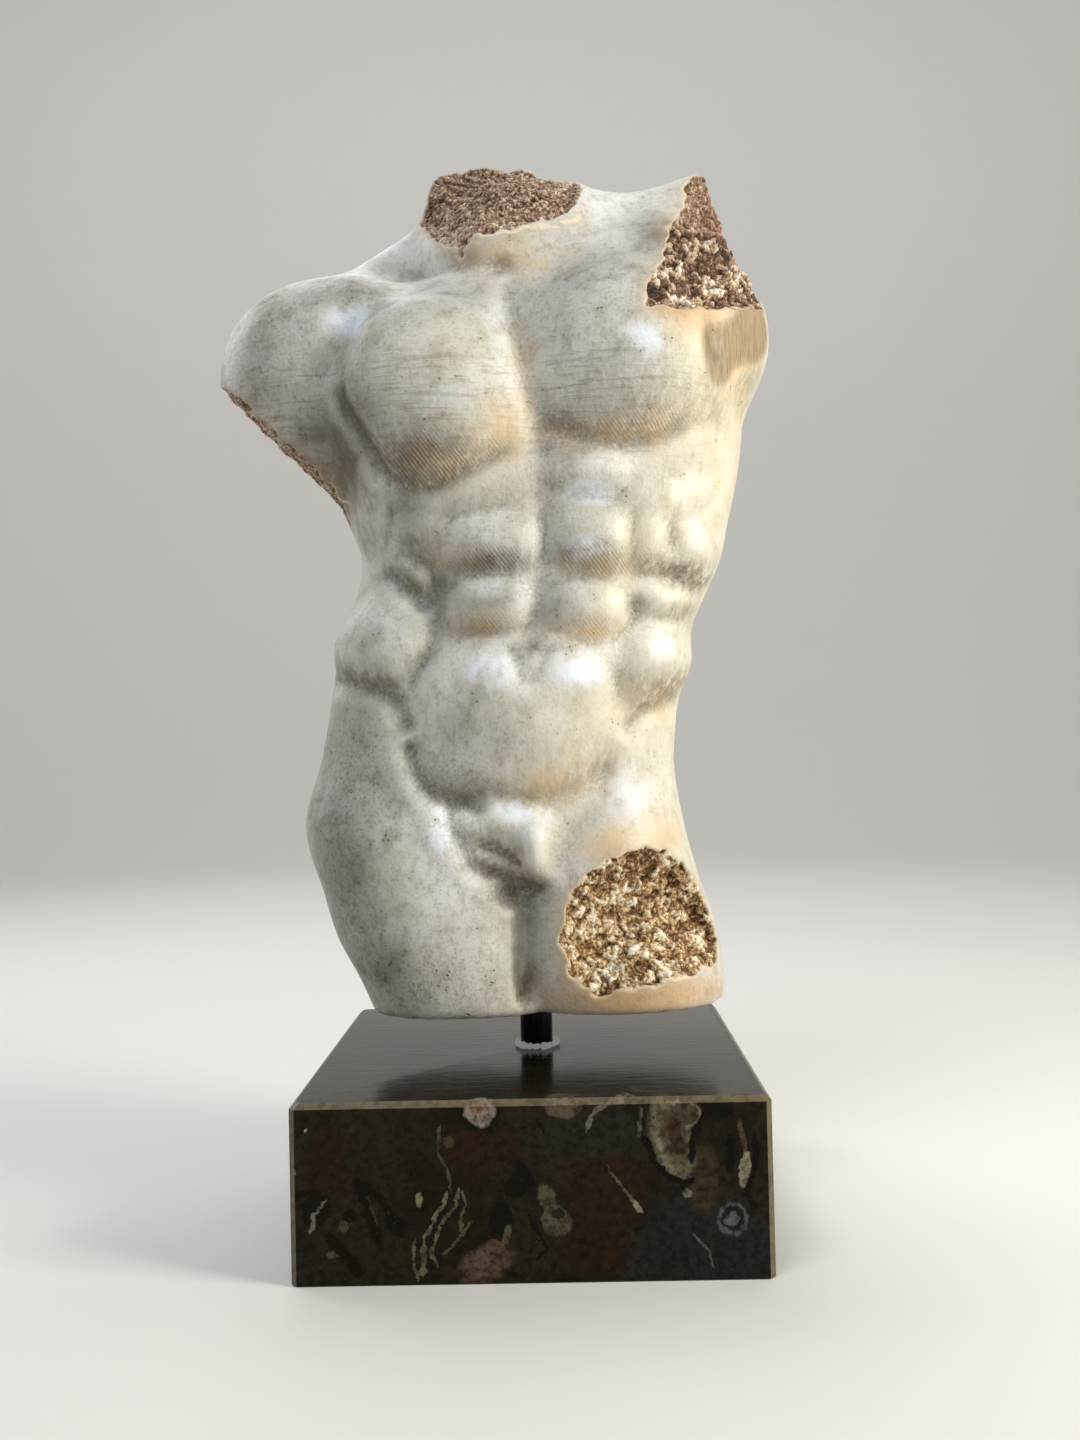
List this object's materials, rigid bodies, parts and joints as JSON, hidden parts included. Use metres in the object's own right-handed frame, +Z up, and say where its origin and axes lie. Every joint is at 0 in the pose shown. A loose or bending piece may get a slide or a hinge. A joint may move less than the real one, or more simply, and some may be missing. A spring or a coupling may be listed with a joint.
{
  "type": "statue torso on plinth",
  "caption": "Muscular male torso in the antique manner, broken at neck, arms and thighs, held on a short steel rod above a square chamfered plinth.",
  "frame": {"origin": "centre of the plinth's underside", "axes": "+Z up, the torso's front faces -Y, +X to the right of someone who faces the front"},
  "size_m": [0.2157, 0.16, 0.4166],
  "materials": {
    "torso_stone": "satin, aged and stained, coarse grain at the breaks",
    "rod_steel": "black, satin",
    "adhesive": "dried, satin",
    "plinth_marble": "polished dark fossil marble"
  },
  "bodies": {
    "root": {"torso": "torso_stone", "rod": "rod_steel", "adhesive_ring": "adhesive", "plinth": "plinth_marble"}
  },
  "joints": []
}
